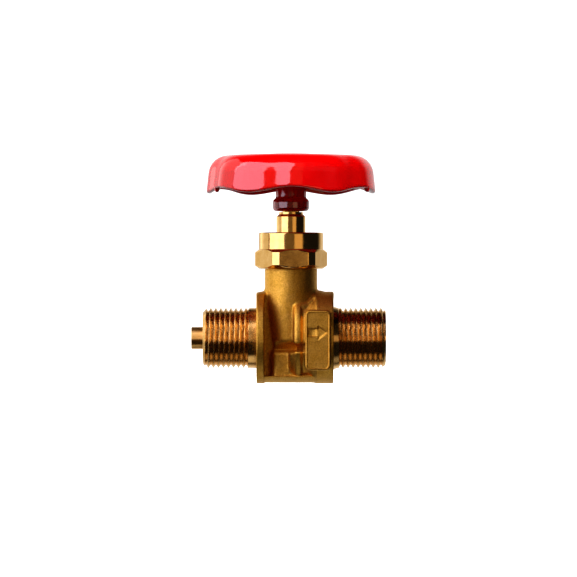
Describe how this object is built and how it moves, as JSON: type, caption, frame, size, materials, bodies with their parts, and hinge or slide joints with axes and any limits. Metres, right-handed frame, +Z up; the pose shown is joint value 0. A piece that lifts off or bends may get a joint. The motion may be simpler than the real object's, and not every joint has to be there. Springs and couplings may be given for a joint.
{
  "type": "screw-down stop valve",
  "caption": "Brass screw-down stop valve with male threaded ends, a hexagonal packing nut and a lobed red handwheel on a rising stem.",
  "frame": {"origin": "where the stem's axis crosses the pipe's axis", "axes": "+X along the pipe in the direction of flow, +Z up the stem to the handwheel"},
  "size_m": [0.0702, 0.0608, 0.083],
  "materials": {
    "forged_brass": "satin, blasted forging with fine grain",
    "turned_brass": "bright, turned",
    "red_coating": "glossy dip coating",
    "white_polymer": "matte fluoropolymer",
    "zinc_steel": "bright zinc plate"
  },
  "bodies": {
    "body": {"valve_body": "forged_brass", "inlet_spigot": "turned_brass", "seat_ring": "turned_brass", "packing_base_ring": "turned_brass", "packing_ring_1": "white_polymer", "packing_ring_2": "white_polymer", "packing_ring_3": "white_polymer", "packing_ring_4": "white_polymer", "packing_top_ring": "turned_brass", "gland_follower": "turned_brass", "packing_nut": "turned_brass"},
    "jumper": {"disc_holder": "turned_brass", "seal_disc": "white_polymer", "disc_screw": "zinc_steel"},
    "spindle": {"stem": "turned_brass", "holder_clip": "zinc_steel", "handwheel": "red_coating", "wheel_washer": "zinc_steel", "wheel_spring_washer": "zinc_steel", "wheel_screw": "zinc_steel"}
  },
  "joints": [
    {"name": "stem_lift", "type": "slide", "parent": "body", "child": "jumper", "axis": [0, 0, 1], "range_m": [0, 0.0045]},
    {"name": "wheel_turn", "type": "hinge", "parent": "jumper", "child": "spindle", "pos_m": [0, 0, 0.045], "axis": [0, 0, 1], "range_deg": [0, 1080]}
  ],
  "couplings": [
    {"joint": "wheel_turn", "follows": "stem_lift", "rad_per_m": 4188.8}
  ]
}
